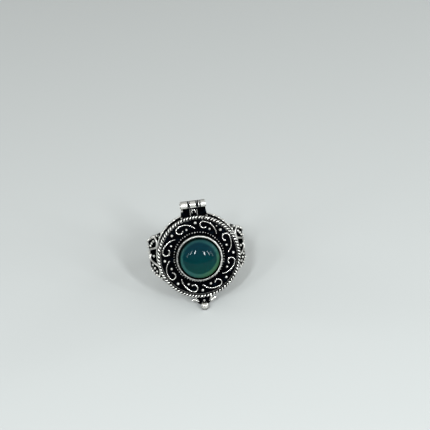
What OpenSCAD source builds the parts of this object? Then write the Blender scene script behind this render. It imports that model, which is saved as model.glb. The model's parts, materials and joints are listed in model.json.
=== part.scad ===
// Poison ring: a swelling band, a round box with filigree shoulders, and a hinged lid that carries a
// cabochon in a plain bezel. The ring is drawn in its head frame (x across the finger, y along the finger
// towards the hinge, z out through the stone, origin on the finger's axis), and then laid on its side.

/* [Band] */
// Inner diameter, where the finger goes
finger_d = 18.2; // [17:0.1:20]
// Thickness of the band
band_t = 1.3; // [1:0.05:1.8]
// Width of the plain band at the back
band_w = 4.8; // [3.6:0.1:6]
// Radius of the shoulders' outer curve
shoulder_r = 10.65; // [10.5:0.05:11.2]
// Height of that curve's centre over the finger's axis
shoulder_rise = 2.6; // [2:0.1:3.2]
// Width of the shoulders where their flare ends, under the box
shoulder_w = 9.8; // [9:0.1:11.5]
// How much wider than that they spread against the box's wall
collar_spread = 1.6; // [0:0.1:2]

/* [Box] */
// Outside diameter of the box
box_d = 18; // [17:0.1:19]
// Thickness of the box's wall
box_wall = 0.8; // [0.6:0.05:1.2]
// Thickness of the box's floor
box_floor_t = 0.75; // [0.6:0.05:1]
// Depth of the compartment
box_depth = 3.15; // [2.4:0.05:4]
// Width of the slope under the box's edge
box_chamfer = 0.8; // [0.4:0.1:0.9]
// Diameter of the plain wire round the foot of the wall
foot_wire_d = 0.45; // [0.3:0.05:0.7]

/* [Lid] */
// Diameter of the lid over its rim wire
lid_d = 18.2; // [17.8:0.1:19]
// Thickness of the lid's plate
lid_t = 0.7; // [0.5:0.05:1]
// Diameter of the rim wire
rim_wire_d = 0.76; // [0.5:0.02:0.9]

/* [Stone and bezel] */
// Diameter of the cabochon
stone_d = 9; // [7.5:0.1:10]
// Whole height of the cabochon
stone_h = 4.1; // [3.4:0.1:5]
// Height of the cabochon's straight side
girdle_h = 1.2; // [0.8:0.1:1.6]
// Thickness of the bezel's wall
bezel_t = 0.5; // [0.3:0.02:0.56]
// Height of the bezel above the lid
bezel_h = 2.3; // [1.8:0.1:2.8]

/* [Filigree on the lid] */
// Number of scrolls round the lid
scroll_n = 8; // [6:1:9]
// Diameter of the scroll wire
scroll_wire_d = 0.36; // [0.26:0.02:0.48]
// Diameter of the granules near the rim
outer_granule_d = 0.64; // [0.4:0.02:0.8]
// Diameter of the granules inside the scrolls
inner_granule_d = 0.54; // [0.3:0.02:0.7]
// Number of small beads round the bezel
bead_n = 58; // [40:1:60]
// Diameter of those beads
bead_d = 0.36; // [0.26:0.02:0.44]

/* [Filigree on the shoulders] */
// Diameter of the wave wire on the shoulders
wave_wire_d = 0.44; // [0.36:0.02:0.6]
// Diameter of the granules on the shoulders
shoulder_granule_d = 0.6; // [0.4:0.02:0.8]
// Width of the raised border along the shoulders' edges
border_w = 0.34; // [0.26:0.02:0.6]
// Height of that border
border_h = 0.18; // [0.12:0.02:0.3]

/* [Hinge] */
// Outside diameter of the hinge's barrel
barrel_d = 1.9; // [1.6:0.05:2.1]
// Diameter of the hinge's pin
pin_d = 0.7; // [0.5:0.05:0.8]
// Length of the hinge
hinge_w = 5.3; // [4.8:0.1:6.2]
// Width of the lid's knuckle
lid_knuckle_w = 1.66; // [1.4:0.02:2]
// Room between the lid's rim and the barrel
hinge_reach = 1.24; // [1:0.02:1.6]

/* [Catch] */
// Diameter of the thumb ball
ball_d = 1.8; // [1.4:0.1:2.2]
// Room between the lid's rim and the thumb ball
ball_reach = 1.2; // [0.8:0.05:1.5]
// Mean radius of the catch loop
loop_r = 1.65; // [1.4:0.05:2]
// Diameter of the catch loop's wire
loop_wire_d = 0.5; // [0.4:0.02:0.6]
// Length of the catch loop's straight legs, from the box's wall
loop_leg = 0.4; // [0.2:0.05:0.8]

/* [Hidden] */
$fn = 48;

// Clearances
box_lift = 0.1;         // between the finger and the box's floor
lid_gap = 0.05;         // between the lid and the box
stone_gap = 0.06;       // between the stone and its bezel
stone_seat_gap = 0.02;  // between the stone and the lid
pin_fit = 0.03;         // round the pin in the box's knuckles, and under its heads
lid_pin_fit = 0.05;     // round the pin in the lid's knuckle
knuckle_gap = 0.1;      // between the knuckles
catch_gap = 0.18;       // between the thumb ball and the loop below it
// How deep wires and granules sink into the metal that carries them, as a share of their diameter
wire_sink = 0.28;
granule_sink = 0.3;
// Balls where wires meet or end are this much wider than the wire, which stops this short of their centres
joint_share = 1.12;
wire_slit = 0.02;

finger_r = finger_d / 2;
band_r = finger_r + band_t;
box_r = box_d / 2;
cavity_r = box_r - box_wall;
box_base = finger_r + box_lift;
box_floor = box_base + box_floor_t;
box_rim = box_floor + box_depth;
foot_z = box_base + box_chamfer;
lid_base = box_rim + lid_gap;
lid_face = lid_base + lid_t;
lid_r = lid_d / 2;
rim_wire_r = lid_r - rim_wire_d / 2;
rim_wire_z = lid_face + rim_wire_d * 0.37;
plate_r = lid_r - rim_wire_d * 0.2;

// The shoulders: plain band up to flare_from, a flare up to flare_to, then a collar up to the box's foot wire
flare_from = 1.8;
flare_drop = 0.6;       // how far under the box's floor the flare ends
flare_to = box_base - flare_drop;
shoulder_top = foot_z;
panel_from = -0.9;      // height of the cross bar that ends the decorated panel
border_inset = 0.1;
corner_at = 38.5;       // the corner granules' angle about the box

stone_r = stone_d / 2;
stone_base = lid_face + stone_seat_gap;
dome_h = stone_h - girdle_h;
bezel_r = stone_r + stone_gap;
bezel_outer_r = bezel_r + bezel_t;
bead_ring_r = bezel_outer_r + bead_d;
bezel_grip = 0.35;      // how far up the dome the bezel stays straight
bezel_lean = 0.11;      // how far its edge leans in from there
bezel_bevel = 0.12;
girdle_bevel = 0.2;     // the bevel on the stone's lower edge

// The field between the beads and the rim wire, which the scrolls share out
field_in = bead_ring_r + bead_d / 2;
field_out = lid_r - rim_wire_d;
field_w = field_out - field_in;
pitch = 360 / scroll_n;
// A scroll is a tight curl and a long tail. Radii and places are shares of the field's width.
curl_r = 0.275 * field_w;
tail_r = 2.29 * field_w;
curl_at = [field_in + 0.54 * field_w, 0.46 * field_w];
curl_from = -14;
curl_turn = 262;
tail_turn = 33.5;
scroll_at = 0.445;      // where a scroll and the granule inside it lie in their pitch
inner_granule_at = 0.39;

barrel_r = barrel_d / 2;
hinge_y = lid_r + hinge_reach + barrel_r;
hinge_z = lid_base - barrel_r * 0.28;
arm_t = barrel_r * 1.1;
hinge_splay = 0.3;      // how much wider the hinge is at the box than at its barrel, on each side
washer_w = 0.55;        // width of the ring of metal beside the lid's knuckle
washer_groove = 0.12;   // width of the groove beside it
pin_head_more = 0.36;
pin_head_d = pin_d + pin_head_more;
pin_head_t = 0.14;

ball_r = ball_d / 2;
ball_y = lid_r + ball_reach + ball_r;
ball_z = lid_base + 0.45 * lid_t;
loop_y = box_r + loop_leg;
loop_z = ball_z - ball_r - catch_gap - loop_wire_d / 2;

// Lying on its side, the ring touches the floor with the thumb ball and the back edge of the band
foot_run = ball_z + band_r;
foot_drop = ball_y - band_w / 2;
rest_tilt = atan2(foot_drop, foot_run) + asin(ball_r / norm([foot_run, foot_drop]));
rest_lift = band_w / 2 * cos(rest_tilt) + band_r * sin(rest_tilt);
dome_reach = norm([stone_r * sin(rest_tilt), dome_h * cos(rest_tilt)]);
front = max(ball_y * sin(rest_tilt) + ball_z * cos(rest_tilt) + ball_r,
            (stone_base + girdle_h) * cos(rest_tilt) + dome_reach);
back = band_w / 2 * sin(rest_tilt) + band_r * cos(rest_tilt);
rest_shift = (front - back) / 2;

// Half the band's width at a height z over the finger's axis: plain, then a parabola, a flare and a collar
function bend(z) = z * z / (4 * flare_from);
function flare(z) = z <= 0 ? 0 : z < 2 * flare_from ? bend(z) : min(z, flare_to) - flare_from;
function half_w(z) = band_w / 2 + (shoulder_w - band_w) / 2 * flare(z) / flare(flare_to)
    + collar_spread / 2 * max(z - flare_to, 0) / (shoulder_top - flare_to);

// A point over the shoulder's skin: at an angle from the head and a distance y along the finger's axis,
// then u further round the skin, v further along the axis and a lift out of it, in the tangent plane there
function skin(angle, y, u = 0, v = 0, lift = 0) =
    [(shoulder_r + lift) * sin(angle) + u * cos(angle), y + v,
     shoulder_rise + (shoulder_r + lift) * cos(angle) - u * sin(angle)];

module lying() {
    translate([0, rest_shift, rest_lift]) rotate([90 - rest_tilt, 0, 0]) children();
}

// The outline of the band and its shoulders, seen along the finger, and grown by the length more
module band_outline(more) {
    rotate([90, 0, 0]) cylinder(r = band_r + more, h = 2 * shoulder_w, center = true);
    translate([0, 0, shoulder_rise]) rotate([90, 0, 0])
        cylinder(r = shoulder_r + more, h = 2 * shoulder_w, center = true);
}

// An outline seen from the side, drawn with x for the height and y for the width
module side_view() {
    rotate([0, -90, 0]) linear_extrude(height = 3 * shoulder_r, center = true) children();
}

// Heights at which the shoulders' edge has a corner
edge_steps = 5;
edge_heights = [for (i = [0 : edge_steps]) 2 * flare_from * i / edge_steps];

module band() {
    heights = concat([-2 * band_r], edge_heights, [flare_to, shoulder_top]);
    last = len(heights) - 1;
    intersection() {
        band_outline(0);
        side_view() polygon(concat([for (z = heights) [z, -half_w(z)]],
                                   [for (i = [last : -1 : 0]) [heights[i], half_w(heights[i])]]));
    }
}

// A raised frame round each decorated panel: a border along both edges and a bar across the lower end
module panel_frame() {
    heights = concat([panel_from], edge_heights, [flare_to]);
    last = len(heights) - 1;
    outer = [for (z = heights) half_w(z) - border_inset];
    inner = [for (w = outer) w - border_w];
    intersection() {
        band_outline(border_h);
        side_view() {
            for (side = [-1, 1]) polygon(concat(
                [for (i = [0 : last]) [heights[i], side * outer[i]]],
                [for (i = [last : -1 : 0]) [heights[i], side * inner[i]]]));
            translate([panel_from + border_w / 2, 0])
                square([border_w, 2 * outer[0] - border_w], center = true);
        }
    }
}

// Stands its children on the shoulder's skin: x runs further round the skin, y along the finger, z out of it
module on_skin(angle, y, lift = 0) {
    translate(skin(angle, y, lift = lift)) rotate([0, angle, 0]) children();
}

module skin_granule(angle, y) {
    on_skin(angle, y, shoulder_granule_d * (0.5 - granule_sink)) sphere(d = shoulder_granule_d);
}

// A straight piece of wire between two points
module wire_between(from, to, d) {
    way = to - from;
    length = norm(way);
    translate(from) rotate([0, acos(way[2] / length), atan2(way[1], way[0])]) cylinder(d = d, h = length);
}

// An arc of round wire about the origin, with a ball at each of its ends that balls lists
module wire_arc(r, from, to, d, balls) {
    slit = wire_slit / r * 180 / PI;
    rotate(from + slit) rotate_extrude(angle = to - from - 2 * slit) translate([r, 0]) circle(d = d);
    for (end = balls) rotate(end) translate([r, 0, 0]) sphere(d = d * joint_share);
}

// A wave of wire across the shoulder: an arc in the middle, a loop on each side and a straight piece between
// them. The middle arc's centre is at the angle middle. The loops' centres are at the angle side, nearer to
// the head, and a distance y from the middle. Each loop ends at its own angle end_turn.
module skin_wave(middle, side, y, r, d, end_turn) {
    step = (middle - side) * PI / 180 * shoulder_r;
    turn = atan2(y, step) + acos(2 * r / norm([step, y]));
    lift = d * (0.5 - wire_sink) - r * r / (4 * shoulder_r);
    across = r * cos(180 - turn);
    along = r * sin(180 - turn);
    on_skin(middle, 0, lift) wire_arc(r, turn - 180, 180 - turn, d, [turn - 180, 180 - turn]);
    for (v = [-1, 1]) {
        on_skin(side, v * y, lift) rotate([v < 0 ? 180 : 0, 0, 0])
            wire_arc(r, end_turn, 360 - turn, d, [end_turn, 360 - turn]);
        wire_between(skin(side, v * y, -across, -v * along, lift),
                     skin(middle, 0, across, v * along, lift), d);
    }
}

// The angle from the head at which the shoulder's skin is at a height z
function skin_angle(z) = acos((z - shoulder_rise) / shoulder_r);

// The shoulder's granules: each row as [angle from the head, share of half the shoulder's width]
top_row_at = skin_angle(shoulder_top - 0.8 * shoulder_granule_d);
side_granules = [[top_row_at, 1.02], [61, 0.7], [66, 0.58], [71, 0.45], [92.5, 0.27]];
middle_granules = [64, 73, 88.5];

module shoulder_filigree() {
    half = shoulder_w / 2;
    for (row = side_granules, side = [-1, 1]) skin_granule(row[0], side * row[1] * half);
    for (angle = middle_granules) skin_granule(angle, 0);
    skin_wave(72.5, 61, 0.65 * half, 0.265 * half, wave_wire_d, 50);
}

// A granule over the foot wire at each corner of the shoulders
module corner_granules() {
    height = foot_z + foot_wire_d / 2 + shoulder_granule_d * 0.7;
    reach = box_r + shoulder_granule_d * (0.5 - granule_sink);
    for (turn = [corner_at, 180 - corner_at, 180 + corner_at, 360 - corner_at])
        rotate(turn) rotate([0, 90, 0]) translate([-height, 0, reach]) sphere(d = shoulder_granule_d);
}

module box_shell() {
    translate([0, 0, box_base]) cylinder(r1 = box_r - box_chamfer, r2 = box_r, h = box_chamfer);
    translate([0, 0, foot_z]) cylinder(r = box_r, h = box_rim - foot_z);
    translate([0, 0, foot_z]) rotate_extrude() translate([box_r, 0]) circle(d = foot_wire_d);
    corner_granules();
}

// Stands its children along the hinge's axis, about its middle
module along_hinge() {
    translate([0, hinge_y, hinge_z]) rotate([0, 90, 0]) children();
}

// The box's share of the hinge: three knuckles, and two arms that splay out towards the box
module base_knuckles() {
    inner = lid_knuckle_w / 2 + knuckle_gap;
    end = hinge_w / 2;
    root = box_r - box_wall * 0.75;
    for (x = [[-end, -inner], [inner, inner + washer_w], [inner + washer_w + washer_groove, end]])
        along_hinge() translate([0, 0, x[0]]) cylinder(r = barrel_r, h = x[1] - x[0]);
    for (side = [-1, 1]) translate([0, 0, hinge_z - barrel_r]) linear_extrude(height = arm_t)
        polygon([[side * inner, root], [side * inner, hinge_y], [side * end, hinge_y],
                 [side * end, hinge_y - barrel_r], [side * (end + hinge_splay), root]]);
}

// The loop that the thumb ball snaps over: two straight legs and a half ring, with a ball at each corner
module catch_loop() {
    translate([0, -loop_y - wire_slit, loop_z]) rotate(180) rotate_extrude(angle = 180)
        translate([loop_r, 0]) circle(d = loop_wire_d);
    for (side = [-1, 1]) translate([side * loop_r, -loop_y, loop_z]) {
        sphere(d = loop_wire_d * joint_share);
        rotate([-90, 0, 0]) cylinder(d = loop_wire_d, h = loop_leg + box_wall);
    }
}

module band_and_box() {
    color("silver") difference() {
        union() {
            band();
            panel_frame();
            box_shell();
            base_knuckles();
            catch_loop();
            shoulder_filigree();
            mirror([1, 0, 0]) shoulder_filigree();
        }
        rotate([90, 0, 0]) cylinder(r = finger_r, h = 3 * shoulder_w, center = true);
        translate([0, 0, box_floor]) cylinder(r = cavity_r, h = 2 * box_depth);
        along_hinge() cylinder(d = pin_d + 2 * pin_fit, h = 2 * hinge_w, center = true);
    }
}

// One scroll, drawn with x pointing out from the lid's centre and y round the rim
module scroll() {
    tail_at = curl_at + (curl_r - tail_r) * [cos(curl_from), sin(curl_from)];
    curl_to = curl_from + curl_turn;
    tail_to = curl_from - tail_turn;
    translate(curl_at) wire_arc(curl_r, curl_from, curl_to, scroll_wire_d, [curl_from, curl_to]);
    translate(tail_at) wire_arc(tail_r, tail_to, curl_from, scroll_wire_d, [tail_to]);
}

// A granule on the lid's face, at a radius from its centre
module lid_granule(radius, d) {
    translate([radius, 0, d * (0.5 - granule_sink)]) sphere(d = d);
}

module lid_filigree() {
    for (k = [0 : scroll_n - 1]) rotate(pitch * k) {
        translate([0, 0, scroll_wire_d * (0.5 - wire_sink)]) rotate(scroll_at * pitch) scroll();
        lid_granule(field_in + 0.7 * field_w, outer_granule_d);
        rotate(inner_granule_at * pitch) lid_granule(field_in + 0.335 * field_w, inner_granule_d);
    }
    for (k = [0 : bead_n - 1]) rotate(360 / bead_n * k) lid_granule(bead_ring_r, bead_d);
}

// A straight wall that leans in over the stone's edge, with a narrow bevel on top
module bezel() {
    straight = girdle_h + bezel_grip;
    outer = bezel_outer_r - bezel_lean / 2;
    rotate_extrude() polygon([[bezel_r, -lid_t / 2], [bezel_outer_r, -lid_t / 2], [bezel_outer_r, straight],
        [outer, bezel_h - bezel_bevel], [outer - bezel_bevel, bezel_h], [bezel_r - bezel_lean, bezel_h],
        [bezel_r, straight]]);
}

module lid_knuckle() {
    strap_t = (hinge_z + barrel_r - lid_base) * 0.9;
    difference() {
        union() {
            along_hinge() cylinder(r = barrel_r, h = lid_knuckle_w, center = true);
            translate([-lid_knuckle_w / 2, rim_wire_r, lid_base])
                cube([lid_knuckle_w, hinge_y - rim_wire_r, strap_t]);
        }
        along_hinge() cylinder(d = pin_d + 2 * lid_pin_fit, h = 2 * lid_knuckle_w, center = true);
    }
}

// The ball that the thumb lifts, on a short flat neck with a granule on it
module thumb_ball() {
    neck_w = 0.5 * ball_d;
    neck_t = 0.8 * lid_t;
    translate([-neck_w / 2, -ball_y, lid_base + (lid_t - neck_t) / 2])
        cube([neck_w, ball_y - rim_wire_r, neck_t]);
    translate([0, -ball_y, ball_z]) sphere(r = ball_r);
    translate([0, -lid_r - ball_reach * 0.42, lid_face]) sphere(d = inner_granule_d);
}

module lid() {
    color("silver") union() {
        translate([0, 0, lid_base]) cylinder(r = plate_r, h = lid_t);
        translate([0, 0, rim_wire_z]) rotate_extrude() translate([rim_wire_r, 0]) circle(d = rim_wire_d);
        translate([0, 0, lid_face]) {
            bezel();
            lid_filigree();
        }
        lid_knuckle();
        thumb_ball();
    }
}

// A round cabochon: a straight girdle under a domed top
module stone() {
    steps = 14;
    dome = [for (i = [0 : steps]) [stone_r * cos(90 * i / steps), girdle_h + dome_h * sin(90 * i / steps)]];
    color("darkcyan") translate([0, 0, stone_base]) rotate_extrude()
        polygon(concat([[0, 0], [stone_r - girdle_bevel, 0], [stone_r, girdle_bevel]], dome));
}

module hinge_pin() {
    head_at = hinge_w / 2 + pin_fit + pin_head_t / 2;
    color("gray") along_hinge() {
        cylinder(d = pin_d, h = 2 * head_at, center = true);
        for (side = [-1, 1]) translate([0, 0, side * head_at])
            cylinder(d = pin_head_d, h = pin_head_t, center = true);
    }
}

lying() band_and_box();
lying() lid();
lying() stone();
lying() hinge_pin();
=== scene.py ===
"""The looks of a filigree locket ring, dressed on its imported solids.

Lengths are in millimetres in the head frame, and world() takes them to metres in the shared
frame. The head frame stands on the finger's axis: x runs across the finger, y along it towards
the hinge, and z out through the stone.
"""
import json
import math

import bmesh
import bpy
import numpy as np
from mathutils import Matrix, Vector

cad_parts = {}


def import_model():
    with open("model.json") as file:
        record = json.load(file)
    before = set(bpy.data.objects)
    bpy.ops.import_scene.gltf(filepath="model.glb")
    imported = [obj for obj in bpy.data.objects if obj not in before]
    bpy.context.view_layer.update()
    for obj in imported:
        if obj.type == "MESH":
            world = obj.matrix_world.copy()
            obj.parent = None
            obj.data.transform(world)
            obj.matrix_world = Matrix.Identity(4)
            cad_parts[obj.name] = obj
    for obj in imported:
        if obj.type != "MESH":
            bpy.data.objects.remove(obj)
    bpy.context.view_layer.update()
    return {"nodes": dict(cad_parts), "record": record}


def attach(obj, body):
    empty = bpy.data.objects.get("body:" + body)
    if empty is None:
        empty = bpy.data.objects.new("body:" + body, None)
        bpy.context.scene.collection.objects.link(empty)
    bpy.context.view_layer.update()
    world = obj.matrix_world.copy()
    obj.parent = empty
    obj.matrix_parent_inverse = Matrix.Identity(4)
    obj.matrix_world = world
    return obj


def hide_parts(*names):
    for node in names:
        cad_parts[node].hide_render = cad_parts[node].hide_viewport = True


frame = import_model()

# The head frame, from the finger hole's mount
MM = 0.001
HOLE = next(mount for mount in frame["record"]["mounts"] if mount["name"] == "finger_hole")
CENTRE = np.array(HOLE["pos_m"])
RIGHT = np.array([1.0, 0.0, 0.0])
UP = np.array(HOLE["axis"]) / np.linalg.norm(HOLE["axis"])
OUT = np.cross(RIGHT, UP)
HEAD = np.array([RIGHT, UP, OUT])
X, Y, Z = np.eye(3)
UPRIGHT = (X, Y, Z)
ALONG_HINGE = (Y, Z, X)
FULL_TURN = 2 * math.pi

# The solids' sizes that the pieces here are dressed on: the lid and its rope
LID_BASE = 13.15
LID_FACE = 13.85
LID_CENTRE = np.array([0.0, 0.0, LID_FACE])
LID_R = 9.1
ROPE_D = 0.76
ROPE_LINE_R = LID_R - ROPE_D / 2
ROPE_RISE = 0.37 * ROPE_D

# The stone, its bezel and the small beads round it
STONE_R = 4.5
STONE_GAP = 0.06
GIRDLE_H = 1.2
DOME_H = 2.9
BEZEL_IN = STONE_R + STONE_GAP
BEZEL_OUT = BEZEL_IN + 0.5
BEZEL_H = 2.3
BEAD_D = 0.36
BEAD_RING_R = BEZEL_OUT + BEAD_D
BEAD_N = 58

# The hinge, the thumb ball and the loop that the ball snaps over
HINGE = np.array([0.0, 11.29, 12.884])
BARREL_R = 0.95
KNUCKLE_W = 1.66
STRAP_TOP = HINGE[2] + 0.86 * BARREL_R
BALL = np.array([0.0, -11.2, 13.465])
BALL_R = 0.9
LOOP_Y = -9.4
LOOP_Z = 12.2

# The box and the shoulders, whose edges stand at EDGE_AT from the middle at the heights EDGE_Z
BOX_R = 9.0
FOOT_Z = 10.0
SHOULDER_R = 10.65
SHOULDER_RISE = 2.6
SHOULDER_HALF_W = 4.9
EDGE_Z = (3.6, 8.6)
EDGE_AT = (3.05, 4.9)
EDGE_SLOPE = (EDGE_AT[1] - EDGE_AT[0]) / (EDGE_Z[1] - EDGE_Z[0])

# The field between the beads and the rope, which eight scrolls share out. A scroll is a curl
# about CURL_AT and a tail that runs into it at the angle CURL_FROM.
SCROLL_N = 8
FIELD_IN = BEAD_RING_R + BEAD_D / 2
FIELD_W = LID_R - ROPE_D - FIELD_IN
PITCH = FULL_TURN / SCROLL_N
CURL_R = 0.275 * FIELD_W
TAIL_R = 1.15 * FIELD_W
CURL_AT = np.array([FIELD_IN + 0.54 * FIELD_W, 0.46 * FIELD_W])
CURL_FROM = math.radians(9.4)
CURL_TURN = math.radians(240)
TAIL_TURN = math.radians(76)
TAIL_LENGTH = TAIL_R * TAIL_TURN
SCROLL_LENGTH = TAIL_LENGTH + CURL_R * CURL_TURN
SCROLL_AT = 0.445 * PITCH
OUTER_GRANULES_R = FIELD_IN + 0.7 * FIELD_W
INNER_GRANULES_R = FIELD_IN + 0.335 * FIELD_W
INNER_GRANULES_AT = 0.39 * PITCH

# An outline that starts on its axis starts this far from it, and the ring there merges to a point
ON_AXIS = 0.0001
# Faces that meet at more than this keep a sharp edge between them
SHARP = math.radians(38)

chance = np.random.default_rng(7)


def world(points):
    """Head frame millimetres to metres in the shared frame: CENTRE + x RIGHT + y UP + z OUT."""
    return CENTRE + MM * np.asarray(points, float) @ HEAD


def xyz(x, y, z):
    """Points from their three coordinates, each an array or one number for all."""
    return np.stack(np.broadcast_arrays(x, y, z), -1)


def unit(vectors):
    """Each vector divided by its length."""
    return vectors / np.linalg.norm(vectors, axis=-1, keepdims=True)


def angles_round(count):
    """The angles of count equal steps round a circle."""
    return np.arange(count) * FULL_TURN / count


def spokes(angles):
    """Directions (cos a, sin a, 0) out from the axis through the stone."""
    return xyz(np.cos(angles), np.sin(angles), 0)


def smooth(low, high, value):
    """0 below low, 1 above high, and 3t² - 2t³ between them."""
    t = np.clip((value - low) / (high - low), 0, 1)
    return t * t * (3 - 2 * t)


def waves(angle, count, low=2):
    """A sum of count sines round a circle, of rising frequency from low and of falling height.

    The factor before it brings it up to about -1 to 1.
    """
    order = np.arange(low, low + count)[:, None]
    phase = chance.uniform(0, FULL_TURN, (count, 1))
    height = chance.uniform(0.5, 1, (count, 1)) / order ** 0.5
    return 1.8 * (height * np.sin(order * angle[None] + phase)).sum(0) / height.sum()


def shoulder_edge(z):
    """Half the shoulder's width along the finger at the height z: a + b (z - c), as it flares."""
    return EDGE_AT[1] + EDGE_SLOPE * (z - EDGE_Z[1])


def on_shoulder(side, angle, along, lift):
    """Directions out of a shoulder's skin, and the places at a lift over it in those directions.

    The skin is a cylinder along the finger, and angle is counted from the lid's normal.
    """
    out = xyz(side * np.sin(angle), 0, np.cos(angle))
    return out, (SHOULDER_R + lift) * out + xyz(0, along, SHOULDER_RISE)


def on_lid(radius, angles, lift):
    """Places on the lid's face at radius (cos a, sin a), at a lift over it."""
    return LID_CENTRE + xyz(radius * np.cos(angles), radius * np.sin(angles), lift)


def loop_faces(loops, count, closed=False):
    """The quads between neighbouring loops of count points each.

    A closed row of loops joins its last to its first.
    """
    i, j = np.meshgrid(np.arange(loops if closed else loops - 1), np.arange(count), indexing="ij")
    next_i, next_j = (i + 1) % loops, (j + 1) % count
    corners = [i * count + j, i * count + next_j, next_i * count + next_j, next_i * count + j]
    return np.stack(corners, -1).reshape(-1, 4)


def joined(*parts):
    """Several (points, faces) as one pair, each part's faces counted on from the points before."""
    starts = np.cumsum([0] + [len(points) for points, _ in parts[:-1]])
    points = np.concatenate([points for points, _ in parts])
    faces = [face + start for (_, faces), start in zip(parts, starts) for face in faces]
    return points, faces


def capped(rings):
    """A stack of rings as (points, faces), with a flat face at each end."""
    loops, count = rings.shape[:2]
    first = np.arange(count)
    caps = [first[::-1], (loops - 1) * count + first]
    return rings.reshape(-1, 3), list(loop_faces(loops, count)) + caps


def tube(path, normals, radius, sides=12, flat=1.0, closed=False):
    """A wire along a path: centre + radius (cos a side + flat sin a normal), a = 0 to a full turn.

    The side is tangent x normal. An open wire has an end cap at each end.
    """
    if closed:
        tangents = unit(np.roll(path, -1, 0) - np.roll(path, 1, 0))
    else:
        tangents = unit(np.gradient(path, axis=0))
    side = unit(np.cross(tangents, normals))
    normals = unit(np.cross(side, tangents))
    a = angles_round(sides)[:, None]
    radius = np.broadcast_to(radius, len(path))[:, None, None]
    wheel = np.cos(a) * side[:, None] + flat * np.sin(a) * normals[:, None]
    rings = path[:, None] + radius * wheel
    if closed:
        return rings.reshape(-1, 3), loop_faces(len(path), sides, True)
    return capped(rings)


def rounding(s, length, radius):
    """The share of a wire's full radius at s: sqrt(1 - (1 - d / radius)²) at d from an end.

    The tips keep a little of it, so that their caps don't shrink to a point.
    """
    least = 0.004
    d = np.minimum(s, length - s)
    return np.sqrt(np.clip(1 - np.clip(1 - d / radius, 0, 1) ** 2, least, 1))


def rounded(length, radius, count):
    """Distances along a wire, closer together at its ends, and its rounding at each."""
    s = 0.5 * length * (1 - np.cos(np.linspace(0, math.pi, count)))
    return s, rounding(s, length, radius)


def balls(centres, radii, out, squash=1.0, rings=8, segments=14):
    """Granules: centre + radius (cos b cos a, cos b sin a, squash sin b), their third axis out."""
    a, b = np.meshgrid(angles_round(segments), np.linspace(-math.pi / 2, math.pi / 2, rings + 1))
    out = unit(np.broadcast_to(out, centres.shape))
    not_along = np.where(np.abs(out[:, 1:2]) < 0.9, Y, X)
    first = unit(np.cross(out, not_along))
    second = np.cross(out, first)
    radii = np.broadcast_to(radii, len(centres))[:, None, None, None]
    shell = (np.cos(b) * np.cos(a))[..., None] * first[:, None, None] \
        + (np.cos(b) * np.sin(a))[..., None] * second[:, None, None] \
        + squash * np.sin(b)[..., None] * out[:, None, None]
    points = (centres[:, None, None] + radii * shell).reshape(-1, 3)
    starts = np.arange(len(centres))[:, None, None] * (rings + 1) * segments
    return points, (loop_faces(rings + 1, segments) + starts).reshape(-1, 4)


def eased(corners, ease, steps=5):
    """A closed outline whose corners become the curves (1-t)² a + 2t(1-t) corner + t² b."""
    corners = np.asarray(corners, float)
    back, ahead = np.roll(corners, 1, 0) - corners, np.roll(corners, -1, 0) - corners
    shorter = np.minimum(np.linalg.norm(back, axis=1), np.linalg.norm(ahead, axis=1))
    reach = np.minimum(ease, 0.45 * shorter)[:, None]
    a, b = corners + unit(back) * reach, corners + unit(ahead) * reach
    t = np.linspace(0, 1, steps)[None, :, None]
    curves = (1 - t) ** 2 * a[:, None] + 2 * t * (1 - t) * corners[:, None] + t ** 2 * b[:, None]
    return curves.reshape(-1, 2)


def turned(outline, segments, centre, axes, wobble=None):
    """An outline of (r, h) carried round: centre + r (cos t first + sin t second) + h third.

    wobble(h) gives what to add to r and to h, at each angle and each place of the outline.
    """
    t = angles_round(segments)[:, None, None]
    r = np.broadcast_to(outline[:, 0], (segments, len(outline)))
    h = np.broadcast_to(outline[:, 1], (segments, len(outline)))
    if wobble:
        more_r, more_h = wobble(h)
        r, h = r + more_r, h + more_h
    first, second, third = axes
    across = r[..., None] * (np.cos(t) * first + np.sin(t) * second)
    points = (centre + across + h[..., None] * third).reshape(-1, 3)
    return points, loop_faces(segments, len(outline), True)


def slab(outline, low, high, ease):
    """A plate with the outline of (x, y) from low to high, drawn in by steps at both edges."""
    outline = np.array(outline)
    middle = outline.mean(0)
    size = np.linalg.norm(outline - middle, axis=1).min()
    bend = 0.3 * ease
    steps = [(low, ease), (low + bend, bend), (low + ease, 0),
             (high - ease, 0), (high - bend, bend), (high, ease)]
    rings = []
    for z, inset in steps:
        x, y = (middle + (outline - middle) * (1 - inset / size)).T
        rings.append(xyz(x, y, z))
    return capped(np.stack(rings))


def add(name, data):
    """A new object in the scene that shows a mesh, a light or a camera."""
    thing = bpy.data.objects.new(name, data)
    bpy.context.scene.collection.objects.link(thing)
    return thing


def piece(name, shape, material, body, stands_for=()):
    """A finished piece on a body, from a shape's (points, faces).

    Its points are merged where they meet, and its faces are turned outwards.
    """
    points, faces = shape
    mesh = bpy.data.meshes.new(name)
    mesh.from_pydata(world(points).tolist(), [], [list(face) for face in faces])
    cleaned = bmesh.new()
    cleaned.from_mesh(mesh)
    bmesh.ops.remove_doubles(cleaned, verts=cleaned.verts, dist=ON_AXIS * MM)
    bmesh.ops.recalc_face_normals(cleaned, faces=cleaned.faces)
    cleaned.to_mesh(mesh)
    cleaned.free()
    mesh.shade_smooth()
    mesh.set_sharp_from_angle(angle=SHARP)
    mesh.materials.append(material)
    thing = add(name, mesh)
    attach(thing, body)
    if stands_for:
        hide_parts(*stands_for)
    return thing


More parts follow.
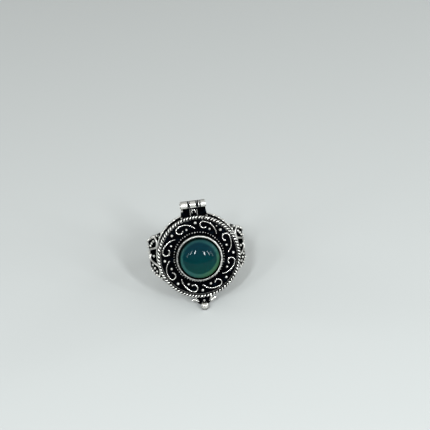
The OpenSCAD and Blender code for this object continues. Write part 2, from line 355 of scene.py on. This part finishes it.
class Value:
    """A shader socket that takes Python's operators as Math nodes."""

    def __init__(self, paint, socket):
        self.paint = paint
        self.socket = socket

    def maths(self, operation, *inputs):
        """A Math node on sockets and numbers."""
        return self.paint.node("ShaderNodeMath", {"operation": operation}, dict(enumerate(inputs)))

    def __add__(self, other):
        return self.maths("ADD", self, other)

    def __radd__(self, other):
        return self.maths("ADD", other, self)

    def __sub__(self, other):
        return self.maths("SUBTRACT", self, other)

    def __rsub__(self, other):
        return self.maths("SUBTRACT", other, self)

    def __mul__(self, other):
        return self.maths("MULTIPLY", self, other)

    def __rmul__(self, other):
        return self.maths("MULTIPLY", other, self)

    def __truediv__(self, other):
        return self.maths("DIVIDE", self, other)

    def __rtruediv__(self, other):
        return self.maths("DIVIDE", other, self)

    def __pow__(self, other):
        return self.maths("POWER", self, other)

    def __abs__(self):
        return self.maths("ABSOLUTE", self)


class Paint:
    """A material and its nodes. Its coordinates x, y and z are the head frame's millimetres."""

    def __init__(self, name):
        self.material = bpy.data.materials.new(name)
        self.material.use_nodes = True
        self.tree = self.material.node_tree
        self.tree.nodes.clear()
        shared = self.node("ShaderNodeTexCoord", output="Object")
        offset = self.vectors("SUBTRACT", shared, tuple(CENTRE))
        self.x, self.y, self.z = [
            self.vectors("DOT_PRODUCT", offset, tuple(axis / MM), "Value") for axis in HEAD]
        self.place = self.node("ShaderNodeCombineXYZ", {}, {"X": self.x, "Y": self.y, "Z": self.z})

    def node(self, kind, settings=None, inputs=None, output=0):
        """Adds a node: its settings, then its inputs by name or number. Returns an output."""
        made = self.tree.nodes.new(kind)
        for name, setting in (settings or {}).items():
            setattr(made, name, setting)
        for key, given in (inputs or {}).items():
            if isinstance(given, Value):
                self.tree.links.new(given.socket, made.inputs[key])
            else:
                made.inputs[key].default_value = given
        return Value(self, made.outputs[output])

    def vectors(self, operation, first, second, output=0):
        """A Vector Math node on two vectors."""
        return self.node("ShaderNodeVectorMath", {"operation": operation},
                         {0: first, 1: second}, output)

    @staticmethod
    def length(a, b):
        """sqrt(a² + b²)."""
        return (a * a + b * b) ** 0.5

    def from_axis(self):
        """The distance from the axis through the stone."""
        return self.length(self.x, self.y)

    def above_skin(self):
        """The height over the shoulders' skin, a cylinder along the finger."""
        return self.length(self.x, self.z - SHOULDER_RISE) - SHOULDER_R

    def step(self, low, high, value):
        """0 where value is low, 1 where it is high, smooth between them. low may be over high."""
        return self.node("ShaderNodeMapRange", {"interpolation_type": "SMOOTHSTEP"},
                         {"Value": value, "From Min": low, "From Max": high})

    def between(self, low, high, value, fade_in, fade_out):
        """1 between low and high: it fades in after low and out before high."""
        return self.step(low, low + fade_in, value) * self.step(high, high - fade_out, value)

    @staticmethod
    def larger(first, *others):
        """The largest of several values."""
        for other in others:
            first = first.maths("MAXIMUM", first, other)
        return first

    def noise(self, per_mm, detail=3.0, rough=0.55):
        """Noise from 0 to 1, with per_mm features to a millimetre."""
        return self.node("ShaderNodeTexNoise", {}, {
            "Vector": self.place, "Scale": per_mm, "Detail": detail, "Roughness": rough})

    def mix(self, share, first, second):
        """first where share is 0, second where it is 1."""
        return self.node("ShaderNodeMix", {"data_type": "RGBA"}, {0: share, 6: first, 7: second}, 2)

    def finish(self, **inputs):
        """Ends in a Principled shader with these inputs, whose names have _ for each space."""
        named = {name.replace("_", " "): given for name, given in inputs.items()}
        shader = self.node("ShaderNodeBsdfPrincipled", {}, named)
        end = self.tree.nodes.new("ShaderNodeOutputMaterial")
        self.tree.links.new(shader.socket, end.inputs["Surface"])
        return self.material


SILVER = (0.83, 0.81, 0.77, 1)
WORN_SILVER = (0.64, 0.62, 0.58, 1)
# The black of oxide in the hollows, also used as painted shade where a mask paints shade
OXIDE_AND_SHADE = (0.001, 0.001, 0.0015, 1)
BLUE_OXIDE_AND_SHADE = (0.002, 0.005, 0.009, 1)
EDGE_TINT = (0.12, 0.12, 0.13, 1)
HINGE_TEAL = (0.0, 0.017, 0.026, 1)
CATCH_TEAL = (0.0, 0.030, 0.025, 1)
MILKY_TEAL = (0.020, 0.085, 0.078, 1)
MILKY_GREEN = (0.034, 0.105, 0.045, 1)
STONE_SHADOW = (0.001, 0.006, 0.005, 1)
PALE_ROOM = (0.95, 0.98, 0.97, 1)
PALE_FLOOR = (0.5, 0.505, 0.496, 1)
COOL_LIGHT = (0.92, 0.98, 1.0)


def silver(name, darkness, rough, scratch=0.02):
    """Silver that is black where darkness(paint) is 1 and rubbed bright where it is 0.

    The black is oxide, and painted shade where a mask paints shade. A fine grain frays the edges
    of the black and scratches the surface, scratch mm deep. A coarse cloud changes how worn the
    silver is, how blue the black is and how rough both are.
    """
    paint = Paint(name)
    grain = paint.noise(9.0, 4.0)
    cloud = paint.noise(1.3)
    dark = paint.step(0.25, 0.75, darkness(paint) + (grain - 0.5) * 0.35)
    worn = paint.step(0.3, 0.8, cloud + (grain - 0.5) * 0.4)
    metal = paint.mix(worn, SILVER, WORN_SILVER)
    black = paint.mix(paint.step(0.5, 0.75, cloud), OXIDE_AND_SHADE, BLUE_OXIDE_AND_SHADE)
    surface = paint.node("ShaderNodeBump", {}, {
        "Height": grain, "Distance": scratch * MM, "Strength": 1.0})
    return paint.finish(Base_Color=paint.mix(dark, metal, black), Metallic=1.0,
                        Roughness=rough + 0.16 * (cloud - 0.5) + dark * 0.34,
                        Specular_Tint=EDGE_TINT, Normal=surface)


def lid_darkness(paint):
    """Black on the lid's face and up the foot of what stands on it, bright above and on the rim."""
    height = paint.z - LID_FACE
    inside = paint.step(LID_R - ROPE_D, LID_R - ROPE_D - 0.08, paint.from_axis())
    return paint.between(-0.06, 0.15, height, 0.04, 0.07) * inside


def bead_darkness(paint):
    """Black between the small beads, bright on their tops."""
    return paint.step(0.16, 0.08, paint.z - LID_FACE)


def rope_darkness(paint):
    """Black low on the rope and in the creases between its strands, dark on its inner side.

    A crease is nearer than the strands' backs to the line that the strands twist about.
    """
    ring = paint.from_axis() - ROPE_LINE_R
    height = paint.z - (LID_FACE + ROPE_RISE)
    crease = paint.step(0.47 * ROPE_D, 0.41 * ROPE_D, paint.length(ring, height))
    worn = 1 - paint.step(-0.02, 0.24 * ROPE_D, ring) * 0.3
    inner = paint.step(-0.06 * ROPE_D, -0.3 * ROPE_D, ring)
    low = paint.step(0.06, -0.08, height)
    return paint.larger(crease * worn, inner * 0.7, low)


def bezel_darkness(paint):
    """Black at the bezel's foot, dull over the edge, painted shade inside the edge and at lower
    left.

    The painted shade inside the edge stands a little off centre, and at lower left it is mottled.
    """
    height = paint.z - LID_FACE
    foot = paint.step(2.1, 1.5, height)
    # Painted shade inside the edge, a little off centre
    radius = paint.length(paint.x - 0.09, paint.y + 0.02)
    inside = paint.step(BEZEL_IN + 0.27, BEZEL_IN + 0.2, radius)
    below_edge = paint.step(BEZEL_H - 0.04, BEZEL_H - 0.14, height)
    # Painted shade towards the lower left, mottled, added to the dull edge
    lower_left_shade = paint.step(0.2, 3.0, BEZEL_IN * 0.5 - paint.x * 0.8 - paint.y * 0.6)
    dull = 0.405 + lower_left_shade * (0.06 + paint.step(0.25, 0.65, paint.noise(3.0, 4.0)) * 0.14)
    return paint.larger(foot, inside * below_edge, dull)


def past_box(paint):
    """1 on what stands out past the box on the hinge's side."""
    return paint.step(BOX_R + 0.2, BOX_R + 0.4, paint.y)


def mottle(paint):
    """Black left in the pits of a worn surface."""
    return paint.step(0.5, 0.66, paint.noise(3.4, 5.0, 0.6)) * 0.7


def hinge_gaps(paint):
    """Black in the gaps between the knuckles and in the groove beside the right washer."""
    gap = paint.between(0.6, 1.22, abs(paint.x), 0.04, 0.04)
    groove = paint.between(1.36, 1.74, paint.x, 0.04, 0.04)
    return paint.larger(gap, groove) * past_box(paint)


def hinge_darkness(paint):
    """Black on the strap from the rope to the barrel, oxide and painted shade; bright on barrel and
    wires.
    """
    # Painted shade, with the oxide, on the strap under the barrel
    strap = paint.step(HINGE[1] - 0.2, HINGE[1] - 0.7, paint.y)
    barrel = paint.step(HINGE[1] - 0.95, HINGE[1] - 0.8, paint.y)
    low = 1 - paint.step(STRAP_TOP - 0.03, STRAP_TOP + 0.03, paint.z)
    return paint.larger(strap * low, hinge_gaps(paint) * barrel, mottle(paint) * low)


def pin_darkness(paint):
    """Black inside the knuckles and the gaps, bright on both heads."""
    return paint.step(2.32, 2.26, abs(paint.x))


def thumb_painted_shade(paint):
    """Painted shade on the neck and round the ball's lower half, and a painted dark reflection away
    from the lid.
    """
    along, height = paint.y - BALL[1], paint.z - BALL[2]
    # Painted shade on the neck and the ball's lower half, and a painted dark reflection on the side
    # away from the lid
    neck = paint.step(LID_FACE + 0.05, LID_FACE - 0.02, paint.z) * paint.step(0.75, 0.85, along)
    lower = paint.step(0.36, 0, height) * paint.step(0.95, 0.85, along)
    painted_reflection = paint.step(-0.3, -0.5, along) * paint.step(0.3, 0.45, height)
    return paint.larger(neck, lower, painted_reflection * 0.5)


def catch_darkness(paint):
    """Black on both plates, as painted shade, and low on the bars, which are bright above."""
    # Painted shade: both plates are black, the one under the hinge all over
    under_hinge_shade = paint.step(0, 0.1, paint.y)
    return paint.larger(paint.step(LOOP_Z + 0.26, LOOP_Z + 0.18, paint.z), under_hinge_shade)


def base_darkness(paint):
    """Black on the shoulders' panels, the box's wall, the hinge's arms and gaps and the loop's end.

    The panels' borders and the box's underside are dark. The black on the hinge's arms is oxide
    and painted shade, with a painted highlight along their left edge.
    """
    skin, radius = paint.above_skin(), paint.from_axis()
    shoulder = paint.between(-0.95, FOOT_Z, paint.z, 0.1, 0.15)
    panel = paint.between(-0.09, 0.09, skin, 0.06, 0.06) * shoulder
    border = paint.step(-0.55, -0.45, abs(paint.y) - shoulder_edge(paint.z)) * shoulder \
        * paint.step(EDGE_Z[0] - 0.1, EDGE_Z[0] + 0.3, paint.z) * paint.step(-0.1, 0.0, skin)
    wall = paint.between(BOX_R - 0.2, BOX_R + 0.12, radius, 0.15, 0.08) \
        * paint.step(FOOT_Z - 0.1, FOOT_Z + 0.1, paint.z)
    under = paint.between(FOOT_Z - 1, FOOT_Z - 0.05, paint.z, 0.3, 0.15) \
        * paint.step(5.0, 5.6, radius)
    # Painted highlight along the arms' left edge
    worn = paint.step(-2.2, -2.35, paint.x) * paint.step(BOX_R + 0.2, BOX_R + 1.6, paint.y)
    # Painted shade, with the oxide, on the hinge's arms
    arms = paint.between(BOX_R - 0.3, HINGE[1] - 0.05, paint.y, 0.1, 0.8) \
        * paint.step(FOOT_Z + 1.0, FOOT_Z + 1.4, paint.z) * (1 - 0.64 * worn)
    knuckles = mottle(paint) * past_box(paint)
    loop = paint.step(LOOP_Y - 0.9, LOOP_Y - 1.15, paint.y)
    return paint.larger(panel, border * 0.62, wall * 0.95, under * 0.8, arms, knuckles,
                        hinge_gaps(paint), loop)


def shoulder_darkness(paint):
    """Black round the foot of the wires and granules on the shoulders and on the box's wall."""
    on_wall = paint.step(FOOT_Z + 0.05, FOOT_Z + 0.2, paint.z)
    shoulder = paint.step(0.1, 0.02, paint.above_skin()) * (1 - on_wall)
    wall = paint.step(0.12, 0.04, paint.from_axis() - BOX_R) * on_wall
    return paint.larger(shoulder, wall)


def teal_chalcedony():
    """Teal stone: bluer towards the hinge, greener towards the catch, milky near its edge.

    The milky ring is green at the lower right and wider at the bottom; the edge is a painted
    shadow.
    """
    paint = Paint("teal_chalcedony")
    radius = paint.from_axis() / STONE_R
    across = paint.y / STONE_R
    cloud = paint.noise(0.45) - 0.5
    body = paint.mix(paint.step(-0.9, 0.75, across + cloud * 0.3), CATCH_TEAL, HINGE_TEAL)
    green = paint.step(0.1, 1.1, (paint.x - paint.y) / STONE_R * 0.7)
    milky = paint.mix(green, MILKY_TEAL, MILKY_GREEN)
    wider = 0.1 * paint.step(-0.1, -0.8, across)
    fainter = 0.9 - 0.45 * paint.step(0.2, 0.8, across)
    ring = paint.step(0.76, 0.87, radius + cloud * 0.1 + wider) * fainter
    # Painted shadow at the stone's edge, a little off centre
    edge = paint.step(0.915, 0.965, paint.length(paint.x - 0.1, paint.y + 0.12) / STONE_R)
    colour = paint.mix(edge, paint.mix(ring, body, milky), STONE_SHADOW)
    return paint.finish(Base_Color=colour, Roughness=0.22, Specular_IOR_Level=0.0, Coat_Weight=0.23,
                        Coat_Roughness=0.03, Coat_IOR=1.5, Subsurface_Weight=0.25,
                        Subsurface_Radius=(0.3, 1.0, 0.9), Subsurface_Scale=0.0012)


FACE_SILVER = silver("blackened_lid", lid_darkness, 0.25)
GRANULE_SILVER = silver("rubbed_granules", lid_darkness, 0.42)
BEAD_SILVER = silver("rubbed_beads", bead_darkness, 0.46)
ROPE_SILVER = silver("rubbed_rope", rope_darkness, 0.3)
BEZEL_SILVER_AND_SHADE = silver("burnished_bezel_and_shade", bezel_darkness, 0.28, 0.03)
BASE_SILVER_SHADE_AND_HIGHLIGHT = silver("blackened_shoulders_shade_and_highlight", base_darkness, 0.34)
SHOULDER_SILVER = silver("rubbed_shoulder_wires", shoulder_darkness, 0.34)
HINGE_SILVER_AND_SHADE = silver("hinge_silver_and_shade", hinge_darkness, 0.24)
PIN_SILVER = silver("pin_silver", pin_darkness, 0.22)
THUMB_SILVER_AND_SHADE = silver("thumb_silver_and_shade", thumb_painted_shade, 0.18)
CATCH_SILVER_AND_SHADE = silver("catch_silver_and_shade", catch_darkness, 0.2)
CHALCEDONY = teal_chalcedony()


def lid_plate():
    """The lid's plate, with an eased edge."""
    under_rope = 0.15
    rim, foot = LID_R - under_rope, LID_BASE - LID_FACE
    outline = eased([[ON_AXIS, foot], [rim, foot], [rim, 0], [ON_AXIS, 0]], 0.06)
    plate = turned(outline, 192, LID_CENTRE, UPRIGHT)
    return piece("lid_plate", plate, FACE_SILVER, "lid", stands_for=["lid"])


def rim_rope():
    """Two strands twisted about a ring: the ring + d/4 (cos f across + sin f out), f = n t.

    The twist and the strands' thickness are a little uneven, and the strands press together.
    """
    twists, samples, pressed = 40, 1200, 1.03
    t = angles_round(samples)
    across = spokes(t)
    middle = LID_CENTRE + ROPE_LINE_R * across + ROPE_RISE * Z
    thickness = ROPE_D / 4 * pressed * (1 + 0.05 * waves(t, 9, 5))
    strands = []
    for start in (0, math.pi):
        f = (twists * t + start + 0.5 * waves(t, 6))[:, None]
        lean = np.cos(f) * across + np.sin(f) * Z
        strands.append(tube(middle + ROPE_D / 4 * lean, lean, thickness, 10, closed=True))
    return piece("rim_rope", joined(*strands), ROPE_SILVER, "lid")


def scroll_line(s):
    """The scroll's line at a distance s from its tail's tip, x outwards and y round the rim.

    The tail turns about its own centre and then the curl about its own, both anticlockwise.
    """
    tail_at = CURL_AT + (CURL_R - TAIL_R) * np.array([math.cos(CURL_FROM), math.sin(CURL_FROM)])
    tail_turn = CURL_FROM - (TAIL_LENGTH - s) / TAIL_R
    curl_turn = CURL_FROM + (s - TAIL_LENGTH) / CURL_R
    tail = tail_at + TAIL_R * spokes(tail_turn)[:, :2]
    curl = CURL_AT + CURL_R * spokes(curl_turn)[:, :2]
    return np.where((s < TAIL_LENGTH)[:, None], tail, curl)


def lid_scrolls():
    """Eight scrolls of wire that thickens from its tail's tip and ends in a small ball.

    Each is bent a little by hand: it sways along its line, and its turn and size vary.
    """
    tip, thickens, ball, sway, lift = 0.09, 0.038, 0.03, 0.035, 0.1
    parts = []
    for k in range(SCROLL_N):
        s, ends = rounded(SCROLL_LENGTH, 0.16, 120)
        share = s / SCROLL_LENGTH
        line = scroll_line(s)
        line = line + sway * waves(share * FULL_TURN, 3, 1)[:, None] * unit(line)
        turn = PITCH * k + SCROLL_AT + chance.uniform(-0.012, 0.012)
        size = chance.uniform(0.985, 1.012)
        turning = np.array([[math.cos(turn), math.sin(turn)], [-math.sin(turn), math.cos(turn)]])
        x, y = size * (line @ turning).T
        radius = (tip + thickens * smooth(0, 0.4, share) + ball * smooth(0.9, 1, share)) * ends
        parts.append(tube(LID_CENTRE + xyz(x, y, lift), Z, radius, 12, 0.95))
    return piece("lid_scrolls", joined(*parts), FACE_SILVER, "lid")


def lid_granules():
    """Flattened granules near the rope and inside the scrolls, and a small stray one."""
    outer_r, inner_r, stray_r, flattened = 0.325, 0.265, 0.15, 0.92
    k = np.arange(SCROLL_N)
    loose = chance.uniform(-0.015, 0.015, (2, SCROLL_N))
    outer = on_lid(OUTER_GRANULES_R, PITCH * k + loose[0], 0.14)
    inner = on_lid(INNER_GRANULES_R, PITCH * k + INNER_GRANULES_AT + loose[1], 0.12)
    stray = on_lid(7.75, np.radians([54.0]), 0.05)
    outer_r = outer_r * chance.uniform(0.94, 1.04, SCROLL_N)
    inner_r = inner_r * chance.uniform(0.92, 1.04, SCROLL_N)
    granules = joined(balls(outer, outer_r, Z, flattened, 10, 18),
                      balls(inner, inner_r, Z, flattened, 10, 18), balls(stray, stray_r, Z))
    return piece("lid_granules", granules, GRANULE_SILVER, "lid")


def bezel_beads():
    """A ring of small tall beads round the bezel, of uneven size and place."""
    angles = FULL_TURN * (np.arange(BEAD_N) + chance.uniform(-0.06, 0.06, BEAD_N)) / BEAD_N
    places = on_lid(BEAD_RING_R + chance.uniform(-0.02, 0.02, BEAD_N), angles, 0.08)
    beads = balls(places, BEAD_D / 2 * chance.uniform(0.62, 1.0, BEAD_N), Z, 1.4)
    return piece("bezel_beads", beads, BEAD_SILVER, "lid")


def bezel():
    """A thin wall that leans in over the stone's edge, burnished by hand, nicked at lower left."""
    outline = eased([[BEZEL_IN, -0.1], [BEZEL_OUT + 0.03, -0.1],
                     [BEZEL_OUT, 0.3], [BEZEL_OUT - 0.02, 1.6], [BEZEL_OUT - 0.06, BEZEL_H],
                     [BEZEL_IN + 0.1, BEZEL_H], [BEZEL_IN + 0.05, BEZEL_H - 0.3],
                     [BEZEL_IN, 1.5]], 0.12, 6)
    segments, nick_depth, nick_at, nick_width = 360, 0.03, math.radians(222), 0.42
    around = angles_round(segments)
    slow, quick = waves(around, 8)[:, None], waves(around, 26, 14)[:, None]
    nicked = nick_depth * np.exp(-((around - nick_at) / nick_width) ** 2)[:, None]

    def burnished(h):
        """Uneven only towards the edge: slow and quick waves, the quick ones deep at the nicks."""
        top = smooth(1.5, BEZEL_H, h)
        return (top * (0.016 * slow + (0.008 + nicked) * quick),
                top * (0.012 * slow + (0.006 + nicked) * quick))

    wall = turned(outline, segments, LID_CENTRE, UPRIGHT, burnished)
    return piece("bezel", wall, BEZEL_SILVER_AND_SHADE, "lid")


def stone():
    """A straight girdle under the dome r = R cos a, h = girdle + H sin a."""
    a = np.linspace(0, math.pi / 2, 40)
    dome = np.c_[np.maximum(STONE_R * np.cos(a), ON_AXIS), GIRDLE_H + DOME_H * np.sin(a)]
    outline = np.concatenate([[[ON_AXIS, 0], [STONE_R - 0.2, 0], [STONE_R, 0.2]], dome])
    cabochon = turned(outline, 160, LID_CENTRE + 0.02 * Z, UPRIGHT)
    return piece("cabochon", cabochon, CHALCEDONY, "lid", ["stone"])


def lid_hinge():
    """The lid's knuckle: a barrel with a bore, a strap down to the lid, and three wires on it.

    The middle wire is an open coil, and the others run straight along both edges of the strap.
    """
    bore, half = 0.4, KNUCKLE_W / 2
    outline = eased([[bore, -half], [BARREL_R, -half], [BARREL_R, half], [bore, half]], 0.12)
    barrel = turned(outline, 64, HINGE, ALONG_HINGE)
    near, far = ROPE_LINE_R, HINGE[1] - 0.45
    strap = slab([[-half, near], [half, near], [half * 0.98, far], [-half * 0.98, far]],
                 LID_BASE + 0.02, STRAP_TOP - 0.08, 0.05)
    coil_r, coil_y, coil_from, coil_length = 0.41, 9.9, 3.9, 1.85
    s, ends = rounded(coil_length, 0.08, 60)
    turn = coil_from - s / coil_r
    coil = xyz(coil_r * np.cos(turn), coil_y + coil_r * np.sin(turn), STRAP_TOP - 0.04)
    wires = [tube(coil, Z, 0.11 * ends, 10)]
    for side in (-1, 1):
        s, ends = rounded(far - near - 0.5, 0.08, 24)
        border = xyz(side * (half - 0.08), near + 0.3 + s, STRAP_TOP - 0.05)
        wires.append(tube(border, Z, 0.075 * ends, 10))
    return piece("lid_hinge", joined(barrel, strap, *wires), HINGE_SILVER_AND_SHADE, "lid")


def thumb_ball():
    """The ball that the thumb lifts, on a flat neck with a granule on it."""
    start, end, wide, narrow, inset = -8.75, BALL[1] + 0.5, 0.5, 0.36, 0.07
    neck = slab([[-wide, start], [-narrow, end], [narrow, end], [wide, start]],
                LID_BASE + inset, LID_FACE - inset, 0.05)
    ball = balls(BALL[None], BALL_R, Z, 1.0, 28, 48)
    granule = balls(np.array([[0, -9.86, LID_FACE - 0.05]]), 0.27, Z, 1.0, 10, 18)
    return piece("thumb_ball", joined(neck, ball, granule), THUMB_SILVER_AND_SHADE, "lid")


def catch_bars():
    """A worn bar across each leg of the catch's loop; a plate of painted shade there and one under
    the hinge.
    """
    bar_r, under_hinge = 0.3, HINGE[2] - BARREL_R - 0.02
    parts = [slab([[-1.1, 8.9], [-1.1, 10.4], [1.1, 10.4], [1.1, 8.9]],
                  under_hinge - 0.2, under_hinge, 0.03),
             slab([[-1.62, -8.85], [-1.62, LOOP_Y], [-0.9, -10.6],
                   [0.9, -10.6], [1.62, LOOP_Y], [1.62, -8.85]],
                  LOOP_Z - 0.2, LOOP_Z + 0.16, 0.05)]
    for start, end in (((-2.73, -9.82), (-1.14, -10.01)), ((2.79, -9.6), (1.26, -10.57))):
        start, way = np.array(start), np.array(end) - np.array(start)
        s, ends = rounded(math.hypot(*way), bar_r, 30)
        x, y = (start + s[:, None] * unit(way)).T
        parts.append(tube(xyz(x, y, LOOP_Z + 0.12), Z, bar_r * ends, 16))
    return piece("catch_bars", joined(*parts), CATCH_SILVER_AND_SHADE, "base")


def shoulder_waves():
    """A thick worn wire over the wave on each shoulder.

    Flat, with u round the skin and v along the finger, it is a middle arc about the origin and a
    loop about (-run, v) on each side, all of the radius r, with straight lines that touch both
    arcs between them.
    """
    half, middle, radius, lift = SHOULDER_HALF_W, math.radians(72.5), 0.22, 0.13
    r, run, v = 0.265 * half, math.radians(11.5) * SHOULDER_R, 0.65 * half
    touch = math.pi - math.atan2(v, run) - math.acos(2 * r / math.hypot(run, v))
    loop, arc = np.linspace(math.radians(50), math.pi + touch, 60), np.linspace(touch, -touch, 50)
    side = np.c_[-run + r * np.cos(loop), v + r * np.sin(loop)]
    flat = np.concatenate([side, r * np.c_[np.cos(arc), np.sin(arc)], (side * [1, -1])[::-1]])
    along = np.cumsum(np.r_[0, np.linalg.norm(np.diff(flat, axis=0), axis=1)])
    s = np.linspace(0, along[-1], 220)
    u, v = np.interp(s, along, flat[:, 0]), np.interp(s, along, flat[:, 1])
    ends = rounding(s, along[-1], radius)
    parts = []
    for sign in (-1, 1):
        out, path = on_shoulder(sign, middle + u / SHOULDER_R, v, lift)
        worn = 1 + 0.06 * waves(s / along[-1] * FULL_TURN, 8, 3)
        parts.append(tube(path, out, radius * ends * worn, 14))
    return piece("shoulder_waves", joined(*parts), SHOULDER_SILVER, "base")


def shoulder_beads():
    """Granules in a row along both edges of each shoulder, and four at each corner of the box."""
    radius, inset, lift, corner_radius = 0.27, 0.24, 0.12, 0.34
    angle = np.radians(np.linspace(52.5, 78, 6))
    edge = shoulder_edge(SHOULDER_RISE + SHOULDER_R * np.cos(angle)) - inset
    parts = []
    for sign in (-1, 1):
        for side in (-1, 1):
            out, places = on_shoulder(sign, angle, side * edge, lift)
            radii = radius * chance.uniform(0.9, 1.06, len(angle))
            parts.append(balls(places, radii, out, 1.0, 10, 16))
    turn = np.radians([30.5, 46.5, 54, 61.5])
    out = spokes(np.concatenate([turn, math.pi - turn, math.pi + turn, -turn]))
    places = (BOX_R + 0.16) * out + (FOOT_Z + 0.66) * Z
    radii = corner_radius * chance.uniform(0.9, 1.05, len(out))
    parts.append(balls(places, radii, out, 1.0, 10, 16))
    return piece("shoulder_beads", joined(*parts), SHOULDER_SILVER, "base")


def floor():
    """A pale square floor under the ring."""
    half = 1.5
    mesh = bpy.data.meshes.new("floor")
    mesh.from_pydata([(-half, -half, 0), (half, -half, 0), (half, half, 0), (-half, half, 0)],
                     [], [(0, 1, 2, 3)])
    mesh.materials.append(Paint("pale_floor").finish(
        Base_Color=PALE_FLOOR, Roughness=0.6, Specular_IOR_Level=0.2))
    add("floor", mesh)


def room():
    """A pale light from all round, dim at the horizon and brighter above."""
    pale = bpy.data.worlds.new("pale_room")
    pale.use_nodes = True
    nodes, links = pale.node_tree.nodes, pale.node_tree.links
    direction, height = nodes.new("ShaderNodeTexCoord"), nodes.new("ShaderNodeSeparateXYZ")
    rise = nodes.new("ShaderNodeMapRange")
    rise.interpolation_type = "SMOOTHSTEP"
    for name, value in (("From Min", 0.0), ("From Max", 0.85), ("To Min", 0.22), ("To Max", 0.64)):
        rise.inputs[name].default_value = value
    links.new(direction.outputs["Generated"], height.inputs["Vector"])
    links.new(height.outputs["Z"], rise.inputs["Value"])
    links.new(rise.outputs["Result"], nodes["Background"].inputs["Strength"])
    nodes["Background"].inputs["Color"].default_value = PALE_ROOM
    bpy.context.scene.world = pale


def area_light(name, side, above, distance, size, power, roll=0):
    """A light that faces the lid, at degrees to the side of the lid's normal and above it."""
    side, above = math.radians(side), math.radians(above)
    way = np.array([math.sin(side), math.cos(side) * math.sin(above),
                    math.cos(side) * math.cos(above)]) @ HEAD
    light = bpy.data.lights.new(name, "AREA")
    light.shape = "RECTANGLE"
    light.size, light.size_y = size
    light.energy = power
    light.color = COOL_LIGHT
    thing = add(name, light)
    thing.location = Vector(world(LID_CENTRE) + distance * way)
    facing = Vector(-way).to_track_quat("-Z", "Y").to_matrix()
    thing.rotation_euler = (facing @ Matrix.Rotation(math.radians(roll), 3, "Z")).to_euler()


def lights():
    """Three strips on each side of the camera, a light at each side of the ring and a soft one."""
    near, far, aside = 0.5, 0.7, 4
    for sign in (-1, 1):
        above = 17 - 4 * sign
        area_light("strip_near", 17 * sign + aside, above, near, (0.034, 0.125), 1.2, 4 * sign - 6)
        area_light("strip_middle", 34 * sign + aside, above, near, (0.024, 0.14), 0.42, 6 * sign)
        area_light("strip_far", 50 * sign + aside, above - 5, near, (0.02, 0.18), 0.2, 8 * sign)
        area_light("rim_light", 116 * sign, -60, near, (0.12, 0.2), 0.4)
    area_light("softbox", 65, 45, far, (0.5, 0.5), 0.4)


def camera():
    """The photograph's view: above the lid's normal, a little aside and rolled, the lid off centre.

    The lid's width and the place of its middle are counted in the photograph's pixels.
    """
    frame_px, lid_px, lid_at, sensor = 430, 83.8, (199.1, 256.8), 36
    above, aside, roll = math.radians(12), math.radians(-1.7), math.radians(6.9)
    distance = 0.26
    way = unit(np.array([math.cos(above) * math.sin(aside), math.sin(above),
                         math.cos(above) * math.cos(aside)]) @ HEAD)
    across = unit(np.cross(UP, way))
    upwards = np.cross(way, across)
    right = across * math.cos(roll) - upwards * math.sin(roll)
    top = across * math.sin(roll) + upwards * math.cos(roll)
    data = bpy.data.cameras.new("camera")
    data.sensor_width = sensor
    data.lens = sensor * distance / (frame_px / lid_px * 2 * LID_R * MM)
    data.shift_x = (frame_px / 2 - lid_at[0]) / frame_px
    data.shift_y = (lid_at[1] - frame_px / 2) / frame_px
    data.clip_start, data.clip_end = 0.01, 10
    view = add("camera", data)
    stand = world(LID_CENTRE + ROPE_RISE * Z) + distance * way
    turn = Matrix(np.array([right, top, way]).T.tolist()).to_4x4()
    view.matrix_world = Matrix.Translation(Vector(stand)) @ turn
    bpy.context.scene.camera = view


camera()
floor()
room()
lights()
lid_plate()
rim_rope()
lid_scrolls()
lid_granules()
bezel_beads()
bezel()
stone()
lid_hinge()
thumb_ball()
catch_bars()
shoulder_waves()
shoulder_beads()
for node, material in (("band_and_box", BASE_SILVER_SHADE_AND_HIGHLIGHT), ("hinge_pin", PIN_SILVER)):
    mesh = frame["nodes"][node].data
    mesh.materials.clear()
    mesh.materials.append(material)

bpy.context.scene.view_settings.view_transform = "Standard"
